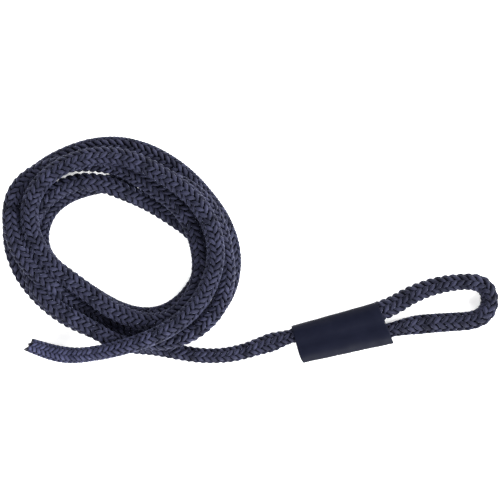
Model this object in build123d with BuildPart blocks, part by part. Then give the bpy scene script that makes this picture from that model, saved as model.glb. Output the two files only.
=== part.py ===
"""Coiled dock line: a soft braided rope with a sleeved eye at one end and a fused free end.

Millimetres, +Z up, lying on the ground as it is stored: the coil on the left, the eye on the
right, and the origin at the bottom centre of the whole line.
"""
import os
from math import cos, pi, radians, sin, tan

from build123d import *

# ---- the rope
rope_d = 10.0
core_d = 6.0
arc_share = 0.45
tip_thickness = 1.5
tip_d = 9.4
tip_rounding = 0.5

# ---- the eye's sleeve
sleeve_wall = 0.8
sleeve_slack = 0.3
sleeve_slope = 13.9
sleeve_length = 55.0
sleeve_centre = (54.6, -50.2)
sleeve_width_at_lead = 23.3
sleeve_width_at_eye = 26.0
cut_slope_at_lead = 15.7
cut_slope_at_eye = 21.9
sleeve_h = rope_d + 2 * (sleeve_wall + sleeve_slack)
sleeve_level = sleeve_h / 2

# ---- the thread that locks the two legs of the eye together
thread_d = 1.0
stitch_count = 4
stitch_pitch = 4.0
stitch_length = 15.0

# ---- the coil: how far out each turn lies from its centre, at the hours of a clock face.
# The rope runs anticlockwise from four o'clock, first turn on top.
coil_centre = (-78.0, 1.0)
first_hour_angle = -30
hour_angle = 30
turn_reach = [
    [58.0, 58.5, 54.5, 50.5, 55.0, 59.0, 60.5, 48.5, 35.3, 32.5, 39.0, 51.0],
    [53.0, 47.5, 43.5, 42.0, 47.5, 59.0, 71.0, 60.5, 45.5, 42.5, 44.5, 58.0],
    [69.0, 67.7, 60.3, 59.1, 62.3, 64.7, 71.0, 64.7, 56.3, 51.5, 52.5, 64.0],
    [69.0, 63.0, 58.0, 51.5, 41.0, 41.9, 48.7, 47.8, 36.3, 32.5, 37.4, 46.8],
    [50.8, 50.9, 37.1, 32.2, 35.0, 45.5, 53.5, 55.5, 54.0, 50.0, 55.0, 50.5],
]
coil_h = 28.0
coil_top_rounding = 4.5
coil_base_rounding = 2.0

# ---- routes of the stretches that aren't coiled, from point to point along the rope's middle
tail_route = [
    (-66, -55, 22.5),
    (-79, -59, 20.5),
    (-91, -61.5, 15.5),
    (-102, -63.2, 10),
    (-112, -63, 6.3),
    (-122, -60.7, 5),
    (-131.5, -57.2, 5),
]
lead_route = [
    (-64, -58, 7),
    (-55, -59, 5.3),
    (-43, -61.5, 5),
    (-27, -63.5, 5),
    (-9, -62.5, 5),
    (8, -57.2, 5),
    (25, -52.2, sleeve_level),
    (54, -44.5, sleeve_level),
]
eye_route = [
    (82.5, -36.2, sleeve_level),
    (98, -27, 5),
    (116, -20.5, 5),
    (140, -18.5, 5),
    (145.8, -31, 5),
    (140, -43.5, 5),
    (116, -43.5, 5),
    (98, -45, 5),
    (82, -48.5, sleeve_level),
]
return_route = [
    (58, -55, sleeve_level),
    (37.5, -59.5, sleeve_level),
]


def halfway(first, second):
    return tuple((a + b) / 2 for a, b in zip(first, second))


def bend_radii(points):
    """Each bend is as large as the two straight runs beside it allow."""
    radii = []
    for before, corner, after in zip(points, points[1:], points[2:]):
        run_in = Vector(*corner) - Vector(*before)
        run_out = Vector(*after) - Vector(*corner)
        half_turn = radians(run_in.get_angle(run_out) / 2)
        radii.append(arc_share * min(run_in.length, run_out.length) / tan(half_turn))
    return radii


def rope_stretch(points, outside_d, inside_d=0.0):
    """A round length of rope along straight runs and tangent arcs, hollow if it has an inside."""
    with BuildPart() as stretch:
        with BuildLine():
            route = FilletPolyline(*points, radius=bend_radii(points))
        with BuildSketch(Plane(origin=route @ 0, z_dir=route % 0)):
            Circle(outside_d / 2)
            if inside_d:
                Circle(inside_d / 2, mode=Mode.SUBTRACT)
        sweep()
    section = pi * (outside_d**2 - inside_d**2) / 4
    ratio = stretch.part.volume / (section * route.length)
    print(f"length {route.length:6.1f}, volume over section x length {ratio:.4f}")
    return stretch


def level_direction(slope):
    return Vector(cos(radians(slope)), sin(radians(slope)), 0)


def clock_point(reach, hour):
    angle = radians(first_hour_angle + hour_angle * hour)
    return (coil_centre[0] + reach * cos(angle), coil_centre[1] + reach * sin(angle))


def coil_outline(reaches):
    """A smooth closed line through one point at each hour."""
    return Spline([clock_point(reach, hour) for hour, reach in enumerate(reaches)], periodic=True)


def save(piece, label):
    piece.part.label = label
    export_step(piece.part, f"parts/{label}.step")


os.makedirs("parts", exist_ok=True)

# The lead meets the eye inside the sleeve, and so does the returning leg.
eye_start = halfway(lead_route[-1], eye_route[0])
eye_end = halfway(eye_route[-1], return_route[0])
stretches = {
    "tail": tail_route,
    "lead": lead_route + [eye_start],
    "eye": [eye_start] + eye_route + [eye_end],
    "return": [eye_end] + return_route,
}

sleeve_axis = level_direction(sleeve_slope)
sleeve_across = level_direction(sleeve_slope + 90)
sleeve_middle = Vector(*sleeve_centre, sleeve_level)

# The lock stitches pass crosswise through both legs, under the sleeve.
with BuildPart() as lock_stitches:
    for number in range(stitch_count):
        step = (number - (stitch_count - 1) / 2) * stitch_pitch
        start = sleeve_middle + sleeve_axis * step - sleeve_across * (stitch_length / 2)
        with BuildSketch(Plane(origin=start, z_dir=sleeve_across)):
            Circle(thread_d / 2)
        extrude(amount=stitch_length)
save(lock_stitches, "lock_stitches")

# Each stretch is a braided cover round a core of straight yarns.
whole_stretches = {}
for name, points in stretches.items():
    print(name, "bend radii", [round(radius, 1) for radius in bend_radii(points)])
    whole_stretches[name] = rope_stretch(points, rope_d)
    with BuildPart() as cover:
        add(rope_stretch(points, rope_d, core_d).part)
        add(lock_stitches.part, mode=Mode.SUBTRACT)
    save(cover, f"{name}_cover")
    with BuildPart() as core:
        add(rope_stretch(points, core_d).part)
        add(lock_stitches.part, mode=Mode.SUBTRACT)
    save(core, f"{name}_core")

# A hot knife has melted each end of the rope into a hard cap.
for name in ("tail", "return"):
    before, end = Vector(*stretches[name][-2]), Vector(*stretches[name][-1])
    with BuildPart() as tip:
        with BuildSketch(Plane(origin=end, z_dir=end - before)):
            Circle(tip_d / 2)
        extrude(amount=tip_thickness)
        fillet(tip.edges().filter_by(GeomType.CIRCLE), tip_rounding)
    save(tip, f"{name}_tip")

# The coil's outer shape: an uneven ring round the outermost and innermost turns.
outside = [max(reaches) + rope_d / 2 for reaches in zip(*turn_reach)]
inside = [min(reaches) - rope_d / 2 for reaches in zip(*turn_reach)]
with BuildPart() as coil:
    with BuildSketch():
        with BuildLine():
            coil_outline(outside)
        make_face()
        with BuildLine():
            coil_outline(inside)
        make_face(mode=Mode.SUBTRACT)
    extrude(amount=coil_h)
    fillet(coil.edges().group_by(Axis.Z)[-1], coil_top_rounding)
    fillet(coil.edges().group_by(Axis.Z)[0], coil_base_rounding)
    add(whole_stretches["tail"].part, mode=Mode.SUBTRACT)
    add(whole_stretches["lead"].part, mode=Mode.SUBTRACT)
save(coil, "coil")

# The sleeve grips both legs side by side, a little wider where they part into the eye. Its ends
# are cut a little askew.


def sleeve_end(step, cut_slope):
    return Plane(
        origin=sleeve_middle + sleeve_axis * step,
        x_dir=level_direction(cut_slope + 90),
        z_dir=level_direction(cut_slope),
    )


at_lead = sleeve_end(-sleeve_length / 2, cut_slope_at_lead)
at_eye = sleeve_end(sleeve_length / 2, cut_slope_at_eye)
with BuildPart() as eye_sleeve:
    with BuildSketch(at_lead):
        SlotOverall(sleeve_width_at_lead, sleeve_h)
    with BuildSketch(at_eye):
        SlotOverall(sleeve_width_at_eye, sleeve_h)
    loft()
    with BuildSketch(at_lead):
        SlotOverall(sleeve_width_at_lead - 2 * sleeve_wall, sleeve_h - 2 * sleeve_wall)
    with BuildSketch(at_eye):
        SlotOverall(sleeve_width_at_eye - 2 * sleeve_wall, sleeve_h - 2 * sleeve_wall)
    loft(mode=Mode.SUBTRACT)
save(eye_sleeve, "eye_sleeve")
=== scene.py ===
# %% [markdown]
# # A coiled dock line
# The object is one soft braided rope. It starts at a melted free end, runs through five loose
# turns of a coil, and leaves to the right into a sleeve, where it is folded back on itself to
# make an eye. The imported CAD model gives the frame: the box that everything has to stay in, and
# plain solids for the collision. Here each of them gets the look of the real thing.

# %% Load the frame
import math

import bmesh
import bpy
import numpy as np
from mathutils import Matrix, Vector, noise


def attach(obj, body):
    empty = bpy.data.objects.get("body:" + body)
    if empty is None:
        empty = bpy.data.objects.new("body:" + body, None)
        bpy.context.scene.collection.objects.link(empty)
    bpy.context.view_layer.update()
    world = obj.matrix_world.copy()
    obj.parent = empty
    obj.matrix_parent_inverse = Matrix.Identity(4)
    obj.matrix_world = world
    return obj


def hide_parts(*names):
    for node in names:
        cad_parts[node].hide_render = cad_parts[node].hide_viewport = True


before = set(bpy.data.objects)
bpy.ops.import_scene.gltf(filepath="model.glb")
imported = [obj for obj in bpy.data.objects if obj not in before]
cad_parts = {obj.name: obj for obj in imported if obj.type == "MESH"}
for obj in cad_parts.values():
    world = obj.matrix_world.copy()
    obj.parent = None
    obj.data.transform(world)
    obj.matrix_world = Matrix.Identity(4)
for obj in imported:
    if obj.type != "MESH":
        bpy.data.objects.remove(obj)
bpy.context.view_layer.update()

collection = bpy.context.scene.collection

# %% [markdown]
# ## The camera
# The line lies flat, so it is seen from straight above. A long lens far away keeps the top of
# the coil from looking larger than its base. The distance follows from the lens: the picture is
# as wide as the line, with hardly any margin.

# %% Place the camera
PICTURE_WIDTH = 0.2992
PICTURE_MIDDLE = (0.0001, 0)
LENS = 200
SENSOR = 36
MIDDLE_HEIGHT = 0.010
camera_data = bpy.data.cameras.new("camera")
camera_data.lens = LENS
camera_data.sensor_width = SENSOR
camera = bpy.data.objects.new("camera", camera_data)
camera.location = (*PICTURE_MIDDLE, MIDDLE_HEIGHT + PICTURE_WIDTH * LENS / SENSOR)
collection.objects.link(camera)
bpy.context.scene.camera = camera
bpy.context.scene.view_settings.view_transform = "Standard"
print("camera height", round(camera.location.z, 3))

# %% [markdown]
# ## The rope's route
# A rope is a fixed length of something flexible, so its route comes first and everything on it
# follows. The stretches outside the coil are short lists of given places. The coil is a
# loop over the hours of a clock face: for each turn, how far out from the coil's centre the rope
# lies at each hour, and how high. The heights are what make the turns lie on each other: the
# first turn is on top, and each turn dives under the one before it somewhere else, which is what
# makes a coil look thrown down and not wound on a former.

# %% Given places
# each place is x, y and z in millimetres, from the free end to the end in the sleeve
MM = 0.001
ROPE_D = 0.010
LEG_LEVEL = 6.1
TAIL = [
    (-131.5, -57.2, 5),
    (-122, -60.7, 5),
    (-112, -63, 6.3),
    (-102, -63.2, 10),
    (-91, -61.5, 15.5),
    (-79, -59, 20.5),
    (-66, -55, 22.5),
    (-50, -48.5, 22.5),
    (-37, -39, 22),
]
LEAD = [
    (-92, -48.5, 14),
    (-83, -53.5, 14),
    (-73, -57, 12),
    (-64, -58, 7),
    (-55, -59, 5.3),
    (-43, -61.5, 5),
    (-27, -63.9, 5),
    (-9, -62.8, 5),
    (8, -57.1, 5),
    (25, -51.4, LEG_LEVEL),
    (54, -44.5, LEG_LEVEL),
]
EYE = [
    (82.5, -35.6, LEG_LEVEL),
    (98, -26.1, 5),
    (116, -19.9, 5),
    (140, -18.3, 5),
    (145.5, -31, 5),
    (138.7, -42.3, 5),
    (116, -43.5, 5),
    (98, -45, 5),
    (82, -48.5, LEG_LEVEL),
    (58, -55, LEG_LEVEL),
    (37.5, -59.5, LEG_LEVEL),
]
print(len(TAIL), "places on the tail,", len(LEAD), "on the lead,", len(EYE), "round the eye")

# %% The coil's turns, from four o'clock, anticlockwise
COIL_CENTRE = (-78.0, 1.0)
FIRST_HOUR_ANGLE = -30
HOUR_ANGLE = 30
# how far out the rope's middle lies at each hour, in millimetres
TURN_REACH = [
    [58.0, 58.5, 54.5, 50.5, 55.0, 59.0, 60.5, 48.5, 35.3, 32.5, 39.0, 51.0],
    [53.0, 48.0, 44.2, 41.6, 48.4, 59.0, 71.5, 60.5, 45.5, 42.5, 44.5, 58.0],
    [69.5, 67.7, 60.3, 59.1, 62.3, 64.7, 69.0, 64.7, 56.3, 51.5, 52.5, 64.0],
    [69.5, 63.0, 58.0, 49.0, 40.0, 41.9, 48.7, 47.8, 36.3, 32.5, 37.4, 46.8],
    [50.8, 50.9, 37.1, 32.6, 35.2, 46.3, 54.0, 57.0, 54.0, 50.0],
]
# and how high it lies there
TURN_HEIGHT = [
    [21.5, 22.5, 23.5, 21.5, 20.0, 22.5, 21.0, 17.5, 14.5, 14.5, 14.0, 14.0],
    [14.0, 14.0, 14.0, 15.0, 13.5, 13.0, 14.0, 19.0, 14.5, 5.5, 5.0, 5.0],
    [5.0, 5.0, 5.0, 5.0, 5.0, 5.0, 5.0, 5.0, 5.0, 5.0, 5.5, 14.0],
    [14.0, 14.0, 14.0, 10.5, 5.0, 5.0, 5.0, 5.0, 5.0, 5.0, 5.0, 5.0],
    [5.0, 5.0, 5.0, 5.5, 14.0, 14.5, 14.0, 7.0, 13.5, 14.0],
]
print(len(TURN_REACH), "turns")


# %% From hours to places
def between(values, index):
    """The value halfway to the next hour, on a smooth curve through its neighbours."""
    before, last = values[max(index - 1, 0)], len(values) - 1
    here, after, beyond = values[index], values[min(index + 1, last)], values[min(index + 2, last)]
    return (9 * (here + after) - before - beyond) / 16


def coil_places():
    reaches = [reach for turn in TURN_REACH for reach in turn]
    heights = [height for turn in TURN_HEIGHT for height in turn]
    places = []
    for hour in range(len(reaches)):
        stations = [(hour, reaches[hour], heights[hour])]
        if hour + 1 < len(reaches):
            height = (heights[hour] + heights[hour + 1]) / 2
            stations.append((hour + 0.5, between(reaches, hour), height))
        for time, reach, height in stations:
            angle = math.radians(FIRST_HOUR_ANGLE + HOUR_ANGLE * time)
            x = COIL_CENTRE[0] + reach * math.cos(angle)
            y = COIL_CENTRE[1] + reach * math.sin(angle)
            places.append((x, y, height))
    return places


route = [tuple(value * MM for value in place) for place in TAIL + coil_places() + LEAD + EYE]
print(len(route), "places on the whole route")

# %% [markdown]
# A NURBS curve of order 3 turns the places into one smooth line. Its points are then read back,
# because every yarn of the braid is laid round that line.

# %% Read the rope's middle line
POINTS_FROM_PLACE_TO_PLACE = 24


def middle_line(places):
    curve = bpy.data.curves.new("route", "CURVE")
    curve.dimensions = "3D"
    curve.resolution_u = POINTS_FROM_PLACE_TO_PLACE
    spline = curve.splines.new("NURBS")
    spline.points.add(len(places) - 1)
    for point, place in zip(spline.points, places):
        point.co = (*place, 1)
    spline.order_u = 3
    spline.use_endpoint_u = True
    holder = bpy.data.objects.new("route", curve)
    mesh = bpy.data.meshes.new_from_object(holder)
    points = np.array([vertex.co[:] for vertex in mesh.vertices])
    bpy.data.meshes.remove(mesh)
    bpy.data.objects.remove(holder)
    bpy.data.curves.remove(curve)
    return points


line = middle_line(route)
steps = np.linalg.norm(np.diff(line, axis=0), axis=1)
along = np.concatenate([[0], np.cumsum(steps)])
rope_length = along[-1]
print("rope length", round(rope_length, 4), "m")

# %% [markdown]
# ## The braid
# The cover of the rope is sixteen yarns, eight wound each way. Each passes over two yarns of the
# other hand and then under two. Where the over-passes fall is fixed by the place round the rope,
# so the floats line up in eight columns that run along it, slanting one way and then the other:
# the chevrons of a soft braided rope.
#
# It could be a bump texture on a smooth tube, but then the outline would stay smooth and the
# gaps between the yarns would have no depth. So each yarn is real: a flat-oval strand that winds
# round the middle line and rises and sinks with the weave.
#
# The rope isn't the same all along. It is laid tighter near the melted end, soft and a little
# flattened in the coil, slim where it leads to the sleeve, and pressed wide at the sleeve's mouths.

# %% How the rope's section and lay change along it
# metres along the rope: half width, half height, length of one turn of a yarn
ROPE_STATIONS = [
    (0.000, 0.0047, 0.0040, 0.021),
    (0.009, 0.0052, 0.0043, 0.023),
    (0.020, 0.0055, 0.0043, 0.026),
    (0.034, 0.0050, 0.0042, 0.028),
    (0.060, 0.0050, 0.0043, 0.030),
    (0.110, 0.0058, 0.0047, 0.034),
    (1.680, 0.0058, 0.0047, 0.034),
    (1.750, 0.0050, 0.0043, 0.033),
    (1.795, 0.0048, 0.0043, 0.032),
    (1.816, 0.0053, 0.0043, 0.032),
    (1.828, 0.0063, 0.0043, 0.032),
    (1.838, 0.0046, 0.0043, 0.032),
    (1.884, 0.0045, 0.0044, 0.033),
    (1.893, 0.0066, 0.0046, 0.034),
    (1.925, 0.0057, 0.0047, 0.035),
    (1.950, 0.0052, 0.0046, 0.035),
    (1.972, 0.0058, 0.0046, 0.035),
    (1.990, 0.0061, 0.0046, 0.036),
    (2.022, 0.0065, 0.0044, 0.038),
    (2.037, 0.0048, 0.0044, 0.036),
    (2.100, 0.0045, 0.0044, 0.034),
]
print(len(ROPE_STATIONS), "stations along the rope")

# %% Rings along the rope
RINGS_PER_TURN = 48
FINE_STEPS = 8000
station_at, half_widths, half_heights, lays = (np.array(column) for column in zip(*ROPE_STATIONS))
fine = np.linspace(0, rope_length, FINE_STEPS + 1)
turned = np.concatenate([[0], np.cumsum(np.diff(fine) / np.interp(fine[1:], station_at, lays))])
ring_count = int(turned[-1] * RINGS_PER_TURN)
ring_turns = np.linspace(0, turned[-1], ring_count)
ring_along = np.interp(ring_turns, turned, fine)
print(ring_count, "rings,", round(turned[-1], 1), "turns of each yarn")


# %% The rope's own directions at each ring
def unit(vectors):
    return vectors / np.linalg.norm(vectors, axis=-1, keepdims=True)


def at_rings(values):
    return np.interp(ring_along, station_at, values)


UP = np.array([0.0, 0.0, 1.0])
middle = np.stack([np.interp(ring_along, along, line[:, axis]) for axis in range(3)], axis=1)
forward = unit(np.gradient(middle, axis=0))
sideways = unit(np.cross(UP, forward))
upward = np.cross(forward, sideways)
half_width = at_rings(half_widths)
half_height = at_rings(half_heights)
# a slimmer stretch lies as low as a thick one
centre = middle - UP * (ROPE_D / 2 - half_height)[:, None]
print("lowest point of the rope", round(float((centre[:, 2] - half_height).min()), 5))

# %% [markdown]
# A rope that is coiled by hand also rolls about its own middle line, so the columns of floats
# wander round it. A short table says how far it has rolled at some places along it. All the
# yarns roll by the same angle, and so the weave stays whole.

# %% How far the braid has rolled
# metres along the rope, degrees that the whole braid is rolled about its middle line
ROLL_STATIONS = [
    (0.00, 11),
    (0.15, 11),
    (0.30, 56),
    (0.37, 40),
    (0.47, 56),
    (0.64, 101),
    (1.00, 101),
    (1.20, 146),
    (1.45, 146),
    (1.70, 110),
    (1.83, 110),
    (1.90, 124),
    (1.93, 124),
    (1.97, 140),
    (2.00, 146),
    (2.10, 146),
]
roll_at, rolls = (np.array(column) for column in zip(*ROLL_STATIONS))
roll = np.radians(np.interp(ring_along, roll_at, rolls))
print("rolled through", round(math.degrees(roll[-1] - roll[0])), "degrees")

# %% [markdown]
# Each yarn is laid with a few lines of arithmetic and then made from a grid: the grid's rows
# become the rings along the yarn, and its long edges are merged where they meet.

# %% The path of one yarn
YARNS_EACH_WAY = 8
COLUMNS = 8
# as shares of the rope's half thickness: how thick a yarn is, and how far it sinks and rises
YARN_THICKNESS = 0.38
WEAVE_DEPTH = 0.16
# a high value makes the floats flat and the dives steep
FLOAT_SQUARENESS = 0.9
# half of a yarn's width, as a share of the room it has, and what the dives take off it
YARN_FILL = 0.50
DIVE_SQUEEZE = 0.35
# how much a yarn swells, how often along it, and how the next yarn differs
SWELL = 0.05
SWELL_RATE = 1.7
SWELL_SHIFT = 2.1


def yarn_path(hand, number):
    """Centres, outward directions and half widths, for a yarn of one hand, +1 or -1."""
    around = hand * math.tau * ring_turns + math.tau * number / YARNS_EACH_WAY
    wave = np.cos(around * COLUMNS / 2 - math.pi / 4) * hand
    lift = np.tanh(FLOAT_SQUARENESS * wave) / math.tanh(FLOAT_SQUARENESS)
    reach = 1 - YARN_THICKNESS / 2 - WEAVE_DEPTH * (1 - lift)
    angle = around + roll
    out = (
        sideways * (np.cos(angle) * half_width)[:, None]
        + upward * (np.sin(angle) * half_height)[:, None]
    )
    centres = centre + out * reach[:, None]
    girth = math.tau * reach * (half_width + half_height) / 2
    lay_length = at_rings(lays)
    spacing = girth * lay_length / np.hypot(girth, lay_length) / YARNS_EACH_WAY
    uneven = 1 + SWELL * np.sin(ring_turns * SWELL_RATE + number * SWELL_SHIFT + hand)
    widths = spacing * YARN_FILL * (1 - DIVE_SQUEEZE * (1 - lift**2)) * uneven
    return centres, unit(out), widths


print("each yarn goes over and under in", COLUMNS, "columns")


# %% From a bmesh to a piece
def as_mesh(bm, name):
    """Shade a bmesh smooth, store it as a mesh and free it."""
    for face in bm.faces:
        face.smooth = True
    mesh = bpy.data.meshes.new(name)
    bm.to_mesh(mesh)
    bm.free()
    return mesh


def link(mesh, name, material):
    """Make a mesh a piece of the object, fixed to its one body."""
    piece = bpy.data.objects.new(name, mesh)
    mesh.materials.append(material)
    collection.objects.link(piece)
    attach(piece, "root")
    return piece


print("mesh helpers ready")


# %% A tube from rings of places
def rolled_grid(name, places, outness):
    """A closed tube from rings of places: an array of rings by sides by three."""
    rings, sides = places.shape[:2]
    bm = bmesh.new()
    bm.loops.layers.uv.new("UVMap")
    proud = bm.verts.layers.float.new("proud")
    bmesh.ops.create_grid(bm, x_segments=rings - 1, y_segments=sides, size=1, calc_uvs=True)
    for vertex in bm.verts:
        ring = round((vertex.co.x + 1) / 2 * (rings - 1))
        side = round((vertex.co.y + 1) / 2 * sides) % sides
        vertex.co = places[ring, side]
        vertex[proud] = outness[ring, side]
    seam = [vertex for vertex in bm.verts if vertex.is_boundary]
    bmesh.ops.remove_doubles(bm, verts=seam, dist=1e-7)
    bmesh.ops.holes_fill(bm, edges=[edge for edge in bm.edges if edge.is_boundary], sides=0)
    bmesh.ops.recalc_face_normals(bm, faces=bm.faces)
    return as_mesh(bm, name)


print("tube helper ready")

# %% How far out a place is, and the slanted cut
CUT_SLANT = 0.26
CUT_REACH = 0.014


def how_proud(places, rings):
    """How far out each place is: 0 on the rope's middle line and 1 at its surface."""
    away = places - centre[rings, None]
    across = np.sum(away * sideways[rings, None], axis=2) / half_width[rings, None]
    above = np.sum(away * upward[rings, None], axis=2) / half_height[rings, None]
    return np.hypot(across, above)


def cut_askew(places, rings):
    """The free end isn't cut square: its near side goes on a little further."""
    across = np.sum((places - centre[rings, None]) * sideways[rings, None], axis=2)
    share = np.clip(1 - ring_along[rings] / CUT_REACH, 0, 1)[:, None]
    return places + forward[rings, None] * (across * share * CUT_SLANT)[..., None]


print("the free end is cut", round(math.degrees(math.atan(CUT_SLANT))), "degrees askew")

# %% A strand round a line
YARN_SIDES = 8


def strand_places(centres, outward, widths, thickness, sides):
    """Rings of places round a strand, from its half widths and half thicknesses."""
    tangent = unit(np.gradient(centres, axis=0))
    outward = unit(outward - tangent * np.sum(outward * tangent, axis=1, keepdims=True))
    across = np.cross(tangent, outward)
    turn = np.arange(sides) * math.tau / sides
    return (
        centres[:, None]
        + across[:, None] * (widths[:, None] * np.cos(turn))[..., None]
        + outward[:, None] * (thickness[:, None] * np.sin(turn))[..., None]
    )


print("a yarn has", YARN_SIDES, "sides")

# %% [markdown]
# ## Finishes
# The yarns are bundles of fine navy filaments, with a dull sheen where they catch the light. The
# filaments run along the yarn, so their pattern follows the yarn's own UV map. The same grain
# serves the core and the stitching, so it is one node group.


# %% The filament grain, a node group
def socket(tree, name, kind, side, default=None):
    made = tree.interface.new_socket(name=name, in_out=side, socket_type=kind)
    if default is not None:
        made.default_value = default
    return made


def filament_group():
    """Fine lines along a yarn: their tone and their height."""
    tree = bpy.data.node_groups.new("filament_grain", "ShaderNodeTree")
    socket(tree, "Repeats along", "NodeSocketFloat", "INPUT", 400.0)
    socket(tree, "Repeats across", "NodeSocketFloat", "INPUT", 14.0)
    socket(tree, "Repeats of patches", "NodeSocketFloat", "INPUT", 300.0)
    socket(tree, "Tone", "NodeSocketFloat", "OUTPUT")
    socket(tree, "Height", "NodeSocketFloat", "OUTPUT")
    nodes, links = tree.nodes, tree.links
    given = nodes.new("NodeGroupInput")
    result = nodes.new("NodeGroupOutput")
    place = nodes.new("ShaderNodeTexCoord")
    scale = nodes.new("ShaderNodeCombineXYZ")
    stretch = nodes.new("ShaderNodeVectorMath")
    stretch.operation = "MULTIPLY"
    lines = nodes.new("ShaderNodeTexNoise")
    lines.inputs["Scale"].default_value = 1.0
    lines.inputs["Detail"].default_value = 3.0
    links.new(given.outputs["Repeats along"], scale.inputs["X"])
    links.new(given.outputs["Repeats across"], scale.inputs["Y"])
    links.new(place.outputs["UV"], stretch.inputs[0])
    links.new(scale.outputs["Vector"], stretch.inputs[1])
    links.new(stretch.outputs["Vector"], lines.inputs["Vector"])
    patches = nodes.new("ShaderNodeTexNoise")
    patches.noise_dimensions = "1D"
    patches.inputs["Detail"].default_value = 1.0
    split = nodes.new("ShaderNodeSeparateXYZ")
    links.new(place.outputs["UV"], split.inputs["Vector"])
    links.new(split.outputs["X"], patches.inputs["W"])
    links.new(given.outputs["Repeats of patches"], patches.inputs["Scale"])
    both = nodes.new("ShaderNodeMath")
    both.operation = "ADD"
    links.new(lines.outputs["Fac"], both.inputs[0])
    links.new(patches.outputs["Fac"], both.inputs[1])
    spread = nodes.new("ShaderNodeMapRange")
    spread.inputs["From Min"].default_value = 0.6
    spread.inputs["From Max"].default_value = 1.4
    links.new(both.outputs["Value"], spread.inputs["Value"])
    links.new(spread.outputs["Result"], result.inputs["Tone"])
    links.new(lines.outputs["Fac"], result.inputs["Height"])
    return tree


grain = filament_group()
print("node group", grain.name)


# %% Helpers for every finish
def principled(name, roughness, specular):
    material = bpy.data.materials.new(name)
    material.use_nodes = True
    shader = material.node_tree.nodes["Principled BSDF"]
    shader.inputs["Roughness"].default_value = roughness
    shader.inputs["Specular IOR Level"].default_value = specular
    return material, shader


def blend(material, share, dark, light):
    """A mix of two colours, by a share that changes over the surface."""
    mix = material.node_tree.nodes.new("ShaderNodeMix")
    mix.data_type = "RGBA"
    mix.inputs["A"].default_value = (*dark, 1)
    mix.inputs["B"].default_value = (*light, 1)
    material.node_tree.links.new(share, mix.inputs["Factor"])
    return mix


def speckle(material, scale, detail):
    """A noise that stays fixed on its piece, through the Object coordinates."""
    nodes, links = material.node_tree.nodes, material.node_tree.links
    place = nodes.new("ShaderNodeTexCoord")
    spots = nodes.new("ShaderNodeTexNoise")
    spots.inputs["Scale"].default_value = scale
    spots.inputs["Detail"].default_value = detail
    links.new(place.outputs["Object"], spots.inputs["Vector"])
    return spots.outputs["Fac"]


def emboss(material, shader, height, strength, distance):
    """A fine relief, from a height that changes over the surface."""
    nodes, links = material.node_tree.nodes, material.node_tree.links
    relief = nodes.new("ShaderNodeBump")
    relief.inputs["Strength"].default_value = strength
    relief.inputs["Distance"].default_value = distance
    links.new(height, relief.inputs["Height"])
    links.new(relief.outputs["Normal"], shader.inputs["Normal"])


print("finish helpers ready")

# %% [markdown]
# The yarns' colour has three layers. The grain gives the light and dark of the filaments. A ramp
# along the rope makes them paler near the free end and darker round the eye. And shade is painted
# into the gaps between the yarns: they are darker by how far out each vertex lies, which is
# stored on the mesh.
#
# The gaps could be left to the shadows alone, but under soft light those are too weak, so this
# painted shade stands in for them. All three layers travel with the yarn, so they look right
# from every side.

# %% Tone along the rope, and painted shade in its gaps
# share of the rope's length, and how light the yarns are there
TONE_ALONG = ((0.0, 1.0), (0.02, 0.95), (0.05, 0.44), (0.85, 0.44), (0.92, 0.32), (1.0, 0.32))
# how far out the painted shade in the gaps starts and ends, and how much of it there is
GAP_FLOOR = 0.70
GAP_TOP = 0.98
GAP_LEAST = 0.08
GAP_SHADE_TONE = 0.3


def tone_along(material):
    nodes, links = material.node_tree.nodes, material.node_tree.links
    place = nodes.new("ShaderNodeTexCoord")
    split = nodes.new("ShaderNodeSeparateXYZ")
    links.new(place.outputs["UV"], split.inputs["Vector"])
    # lighter near the free end and darker round the eye, by the steps in TONE_ALONG
    along_ramp = nodes.new("ShaderNodeValToRGB")
    ramp = along_ramp.color_ramp
    for spot, value in TONE_ALONG[1:-1]:
        ramp.elements.new(spot).color = (value, value, value, 1)
    for end in (0, -1):
        ramp.elements[end].position = TONE_ALONG[end][0]
        ramp.elements[end].color = (*[TONE_ALONG[end][1]] * 3, 1)
    links.new(split.outputs["X"], along_ramp.inputs["Fac"])
    return along_ramp.outputs["Color"]


def painted_gap_shade(material):
    """Painted shade for the gaps: nearly 0 down in a gap, and 1 on the outside of a yarn."""
    nodes, links = material.node_tree.nodes, material.node_tree.links
    proud = nodes.new("ShaderNodeAttribute")
    proud.attribute_name = "proud"
    shade = nodes.new("ShaderNodeMapRange")
    shade.interpolation_type = "SMOOTHSTEP"
    shade.inputs["From Min"].default_value = GAP_FLOOR
    shade.inputs["From Max"].default_value = GAP_TOP
    shade.inputs["To Min"].default_value = GAP_LEAST
    links.new(proud.outputs["Fac"], shade.inputs["Value"])
    return shade.outputs["Result"]


print(len(TONE_ALONG), "tones along the rope")


# %% The yarns' material
def yarn_material(name, dark, light, along_repeats, across_repeats, bump):
    material, shader = principled(name, roughness=0.6, specular=0.08)
    nodes, links = material.node_tree.nodes, material.node_tree.links
    shader.inputs["Sheen Weight"].default_value = 0.35
    shader.inputs["Sheen Roughness"].default_value = 0.25
    shader.inputs["Sheen Tint"].default_value = (0.55, 0.6, 0.9, 1)
    lines = nodes.new("ShaderNodeGroup")
    lines.node_tree = grain
    lines.inputs["Repeats along"].default_value = along_repeats
    lines.inputs["Repeats across"].default_value = across_repeats
    tone = blend(material, lines.outputs["Tone"], dark, light)
    toned = nodes.new("ShaderNodeMix")
    toned.data_type = "RGBA"
    toned.blend_type = "MULTIPLY"
    toned.inputs["Factor"].default_value = 1.0
    links.new(tone.outputs["Result"], toned.inputs["A"])
    links.new(tone_along(material), toned.inputs["B"])
    # painted shade: the gaps between the yarns go darker the lower each vertex lies
    gaps = blend(material, painted_gap_shade(material), [value * GAP_SHADE_TONE for value in dark], light)
    links.new(toned.outputs["Result"], gaps.inputs["B"])
    links.new(gaps.outputs["Result"], shader.inputs["Base Color"])
    emboss(material, shader, lines.outputs["Height"], bump, distance=0.0002)
    return material


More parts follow.
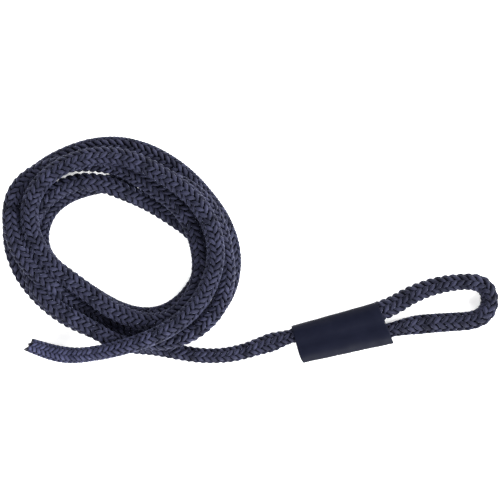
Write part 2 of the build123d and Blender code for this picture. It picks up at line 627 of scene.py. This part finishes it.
cover_finish = yarn_material(
    "navy_braid", (0.0045, 0.0054, 0.0170), (0.0520, 0.0550, 0.1090), 1200, 12, 0.8
)
core_finish = yarn_material(
    "core_filaments", (0.006, 0.007, 0.018), (0.016, 0.018, 0.04), 400, 30, 0.4
)
print("yarn finishes ready")

# %% [markdown]
# ## Laying the sixteen yarns
# A braiding machine carries eight bobbins one way round and eight the other way, and they pass
# outside and inside each other in turn. A loop does the machine's work here: for each yarn it
# works out the path, puts a strand round it, and stores how far out every vertex lies.
#
# One yarn could be made and turned seven times for each hand, but the rope isn't straight or
# even, so every yarn is laid along its own path.

# %% Make the yarns
every_ring = np.arange(ring_count)
for hand, side_name in ((1, "right"), (-1, "left")):
    for number in range(YARNS_EACH_WAY):
        centres, outward, widths = yarn_path(hand, number)
        thickness = YARN_THICKNESS / 2 * (half_width + half_height) / 2
        places = strand_places(centres, outward, widths, thickness, YARN_SIDES)
        name = f"cover_yarn_{side_name}_{number + 1}"
        outness = how_proud(places, every_ring)
        yarn_mesh = rolled_grid(name, cut_askew(places, every_ring), outness)
        yarn = link(yarn_mesh, name, cover_finish)

# %% [markdown]
# ## The core
# Straight yarns fill the inside of the cover. Only their darkness shows, in the gaps between the
# cover's yarns and at the free end, so one round strand along the middle stands for them.

# %% Make the core
CORE_SHARE = 0.52
CORE_SIDES = 16
CORE_EVERY = 6
core_rings = np.arange(0, ring_count, CORE_EVERY)
core_places = strand_places(
    centre[core_rings],
    upward[core_rings],
    half_width[core_rings] * CORE_SHARE,
    half_height[core_rings] * CORE_SHARE,
    CORE_SIDES,
)
core_outness = how_proud(core_places, core_rings)
core_mesh = rolled_grid("rope_core", cut_askew(core_places, core_rings), core_outness)
core = link(core_mesh, "rope_core", core_finish)
print("core of", len(core.data.polygons), "faces")

# %% [markdown]
# ## The sleeve
# A tube of shrink plastic covers the place where the rope's end is folded back and sewn to its
# own standing part. It grips the two legs side by side, so its section is a flattened oval with
# a shallow valley between the legs. It is a little wider where they part into the eye, and its
# ends are cut slightly out of square.
#
# It could be pulled into shape from a cylinder, one ring after another. Instead a flat grid is
# rolled up by one formula, its seam is merged, solidify gives it its wall, and a bevel softens
# the two rims.

# %% Sleeve section and length
SLEEVE_SLOPE = math.radians(13.9)
SLEEVE_CENTRE = Vector((0.0546, -0.0502, 0.0061))
SLEEVE_LENGTH = 0.055
SLEEVE_WALL = 0.0008
SLEEVE_HALF_HEIGHT = 0.0061
# at the lead's end and at the eye's end
SLEEVE_HALF_WIDTHS = (0.0119, 0.0135)
SLEEVE_SKEWS = (math.radians(1.8), math.radians(8.0))
SLEEVE_ROUNDNESS = 2.8
SLEEVE_RINGS = 44
SLEEVE_SIDES = 72
SLEEVE_VALLEY = 0.0009
SLEEVE_VALLEY_WIDTH = 0.003
SLEEVE_ROUND_CORNER = 0.0012
CORNER_SHARPNESS = 8
SLEEVE_UNEVEN = 0.00018
UNEVEN_RATE = 180
sleeve_axis = Vector((math.cos(SLEEVE_SLOPE), math.sin(SLEEVE_SLOPE), 0))
sleeve_across = Vector((-math.sin(SLEEVE_SLOPE), math.cos(SLEEVE_SLOPE), 0))
print("sleeve", SLEEVE_LENGTH, "m long and", 2 * SLEEVE_HALF_WIDTHS[1], "m wide at the eye")


# %% Where each point of the sleeve lies
def signed_power(value, exponent):
    return math.copysign(abs(value) ** exponent, value)


def mixed(pair, share):
    return pair[0] + (pair[1] - pair[0]) * share


def sleeve_place(share, angle):
    """A point on the sleeve: share runs from the lead's end to the eye's, angle goes round."""
    half_wide = mixed(SLEEVE_HALF_WIDTHS, share)
    wide = signed_power(math.cos(angle), 2 / SLEEVE_ROUNDNESS) * half_wide
    tall = signed_power(math.sin(angle), 2 / SLEEVE_ROUNDNESS) * SLEEVE_HALF_HEIGHT
    tall -= math.copysign(SLEEVE_VALLEY, tall) * math.exp(-((wide / SLEEVE_VALLEY_WIDTH) ** 2))
    step = SLEEVE_LENGTH * (share - 0.5) - wide * math.tan(mixed(SLEEVE_SKEWS, share))
    step += SLEEVE_ROUND_CORNER * (1 - share) * max(0, -wide / half_wide) ** CORNER_SHARPNESS
    place = SLEEVE_CENTRE + sleeve_axis * step + sleeve_across * wide + Vector((0, 0, tall))
    inward = sleeve_across * math.copysign(1, wide) + Vector((0, 0, math.copysign(1, tall)))
    return place - inward * SLEEVE_UNEVEN * (1 + noise.noise(place * UNEVEN_RATE))


print("middle of the sleeve's top", sleeve_place(0.5, math.pi / 2).to_tuple(5))

# %% Roll up the sleeve
RIM_ROUNDING = 0.00025
RIM_ANGLE = math.radians(50)


def sleeve_mesh():
    bm = bmesh.new()
    bmesh.ops.create_grid(bm, x_segments=SLEEVE_RINGS, y_segments=SLEEVE_SIDES, size=1)
    for vertex in bm.verts:
        vertex.co = sleeve_place((vertex.co.x + 1) / 2, vertex.co.y * math.pi)
    bmesh.ops.remove_doubles(bm, verts=bm.verts, dist=1e-6)
    bmesh.ops.recalc_face_normals(bm, faces=bm.faces)
    bmesh.ops.solidify(bm, geom=bm.faces, thickness=SLEEVE_WALL)
    rims = [edge for edge in bm.edges if edge.calc_face_angle(0) > RIM_ANGLE]
    bmesh.ops.bevel(
        bm, geom=rims, offset=RIM_ROUNDING, segments=2, profile=0.5, affect="EDGES", material=-1
    )
    return as_mesh(bm, "eye_sleeve_tube")


sleeve_tube = sleeve_mesh()
print("sleeve of", len(sleeve_tube.polygons), "faces")

# %% [markdown]
# Shrink tube is dull plastic, faintly cloudy. One flat colour would look like cut paper, so a
# soft noise moves the tone and the gloss a little, and a fine noise gives it pores. Both read
# Object coordinates, because nothing in the plastic runs along the tube or round it.


# %% The sleeve's finish
def sleeve_material():
    material, shader = principled("navy_shrink_tube", roughness=0.5, specular=0.06)
    nodes, links = material.node_tree.nodes, material.node_tree.links
    cloud = speckle(material, scale=110.0, detail=4.0)
    tone = blend(material, cloud, (0.0012, 0.0017, 0.0056), (0.0024, 0.0031, 0.0090))
    links.new(tone.outputs["Result"], shader.inputs["Base Color"])
    gloss = nodes.new("ShaderNodeMapRange")
    gloss.inputs["To Min"].default_value = 0.40
    gloss.inputs["To Max"].default_value = 0.58
    links.new(cloud, gloss.inputs["Value"])
    links.new(gloss.outputs["Result"], shader.inputs["Roughness"])
    pores = speckle(material, scale=2600.0, detail=2.0)
    emboss(material, shader, pores, strength=0.25, distance=0.0001)
    return material


sleeve = link(sleeve_tube, "eye_sleeve_tube", sleeve_material())
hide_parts("eye_sleeve")
print("sleeve in", sleeve.data.materials[0].name)

# %% [markdown]
# ## The melted ends
# The rope is cut with a hot knife, so that the yarns fuse into a hard, dark cap with a few lumps.
# A cap could be a plain disc, but the lumps are what tells a melted end from a cut one. So each
# starts as an icosphere, is flattened, and is pushed out where the lumps are, with a little
# noise for roughness.

# %% Melted caps
CAP_THICKNESS = 0.0007
CAP_FULLNESS = 0.90
CAP_FLATNESS = 0.94
LUMP_SPREAD = 0.30
LUMP_WIDENING = 0.03
# strength and fineness of each layer of noise
CAP_ROUGHNESS = ((0.12, 2.3), (0.06, 7))
# each lump's angle round the cap, and its size
LUMPS = ((0.55, 2.0), (1.45, 2.4), (2.40, 3.2), (3.90, 1.0))


def melted_cap(name, ring, way, slant):
    """A lumpy cap over the rope's end: way is 1 past the last ring and -1 before the first."""
    bm = bmesh.new()
    bmesh.ops.create_icosphere(bm, subdivisions=5, radius=1)
    for vertex in bm.verts:
        spot = vertex.co.copy()
        angle = math.atan2(spot.y, spot.x)
        lump = 0
        for place, size in LUMPS:
            away = math.remainder(angle - place, math.tau) / LUMP_SPREAD
            lump += size * math.exp(-(away**2))
        lump *= math.hypot(spot.x, spot.y) ** 2
        rough = sum(strength * noise.noise(spot * fine) for strength, fine in CAP_ROUGHNESS)
        wide = CAP_FULLNESS * (1 + rough + lump * LUMP_WIDENING)
        across = spot.x * wide * half_width[ring]
        above = spot.y * wide * CAP_FLATNESS * half_height[ring]
        out = way * CAP_THICKNESS * (spot.z * (1 + 2 * rough) + lump) + slant * across
        vertex.co = (
            centre[ring] + sideways[ring] * across + upward[ring] * above + forward[ring] * out
        )
    bmesh.ops.recalc_face_normals(bm, faces=bm.faces)
    return as_mesh(bm, name)


print(len(LUMPS), "lumps on each cap")

# %% [markdown]
# Melted fibre is nearly black, a little glossy and pitted. One noise gives both its tone and its
# relief, so that the pits are also the darkest spots.


# %% The melted finish, and both caps
def melted_material():
    material, shader = principled("melted_fibre", roughness=0.45, specular=0.2)
    drops = speckle(material, scale=900.0, detail=3.0)
    tone = blend(material, drops, (0.002, 0.002, 0.004), (0.016, 0.016, 0.026))
    material.node_tree.links.new(tone.outputs["Result"], shader.inputs["Base Color"])
    emboss(material, shader, drops, strength=0.6, distance=0.0003)
    return material


cap_finish = melted_material()
for end, ring, way, slant in (("tail", 0, -1, CUT_SLANT), ("return", -1, 1, 0)):
    name = f"{end}_melted_cap"
    cap = link(melted_cap(name, ring, way, slant), name, cap_finish)
    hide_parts(f"{end}_tip")

# %% [markdown]
# ## What the rope stands for
# The CAD model has the one rope as several stretches of cover and core. Here the coil and every
# stretch of cover and core are hidden, and the yarns and the core strand are shown in their place.
# The locking thread is hidden in the sleeve, so it keeps its CAD shape.

covers = [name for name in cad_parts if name.endswith("_cover")]
cores = [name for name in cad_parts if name.endswith("_core")]
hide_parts("coil", *covers)
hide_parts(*cores)
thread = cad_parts["lock_stitches"]
thread.data.materials.clear()
thread.data.materials.append(core_finish)
print("the first yarn stands for", covers, "and the core for", cores)

# %% [markdown]
# ## Floor and light
# The line lies on a plain white floor. Lit only from above, the floor would turn grey where the
# rope shades it, so it also glows a little, like a light table.
#
# Six wide lamps stand round it, low enough to show the relief of the yarns, and a weak one hangs
# overhead. The lamps on the eye's side are brighter, which gives the strands a lit side and a
# dim one.

# %% Floor
FLOOR_GLOW = 0.4
FLOOR_REACH = 3
# just under the rope, so that the two surfaces never lie in one plane
FLOOR_LEVEL = -0.0002
floor_bm = bmesh.new()
bmesh.ops.create_grid(floor_bm, x_segments=1, y_segments=1, size=FLOOR_REACH)
bmesh.ops.translate(floor_bm, verts=floor_bm.verts, vec=(0, 0, FLOOR_LEVEL))
floor_mesh = as_mesh(floor_bm, "floor")
floor = bpy.data.objects.new("floor", floor_mesh)
floor_finish, floor_shader = principled("pale_floor", roughness=0.9, specular=0.1)
floor_shader.inputs["Base Color"].default_value = (0.9, 0.9, 0.9, 1)
floor_shader.inputs["Emission Color"].default_value = (1, 1, 1, 1)
floor_shader.inputs["Emission Strength"].default_value = FLOOR_GLOW
floor_mesh.materials.append(floor_finish)
collection.objects.link(floor)
print("floor", 2 * FLOOR_REACH, "m wide")


# %% Lamps
def softbox(name, place, size, watts):
    lamp = bpy.data.lights.new(name, "AREA")
    lamp.shape = "SQUARE"
    lamp.size = size
    lamp.energy = watts
    holder = bpy.data.objects.new(name, lamp)
    holder.location = place
    holder.rotation_euler = (-Vector(place)).to_track_quat("-Z", "Y").to_euler()
    collection.objects.link(holder)


RING_LAMPS = 6
RING_RADIUS = 1.3
RING_HEIGHT = 0.7
RING_LAMP_SIZE = 0.8
RING_WATTS = 26
RING_SWING = 21
BRIGHT_SIDE = math.radians(-20)
WORLD_LIGHT = 0.16
for number in range(RING_LAMPS):
    angle = math.tau * number / RING_LAMPS
    watts = RING_WATTS + RING_SWING * math.cos(angle - BRIGHT_SIDE)
    place = (RING_RADIUS * math.cos(angle), RING_RADIUS * math.sin(angle), RING_HEIGHT)
    softbox(f"ring_{number + 1}", place, RING_LAMP_SIZE, watts)
softbox("overhead", (0, 0, 2.6), size=0.9, watts=12)
world = bpy.data.worlds.new("studio")
world.use_nodes = True
sky = world.node_tree.nodes["Background"]
sky.inputs["Color"].default_value = (1, 1, 1, 1)
sky.inputs["Strength"].default_value = WORLD_LIGHT
bpy.context.scene.world = world
print(RING_LAMPS, "lamps in the ring and one overhead")
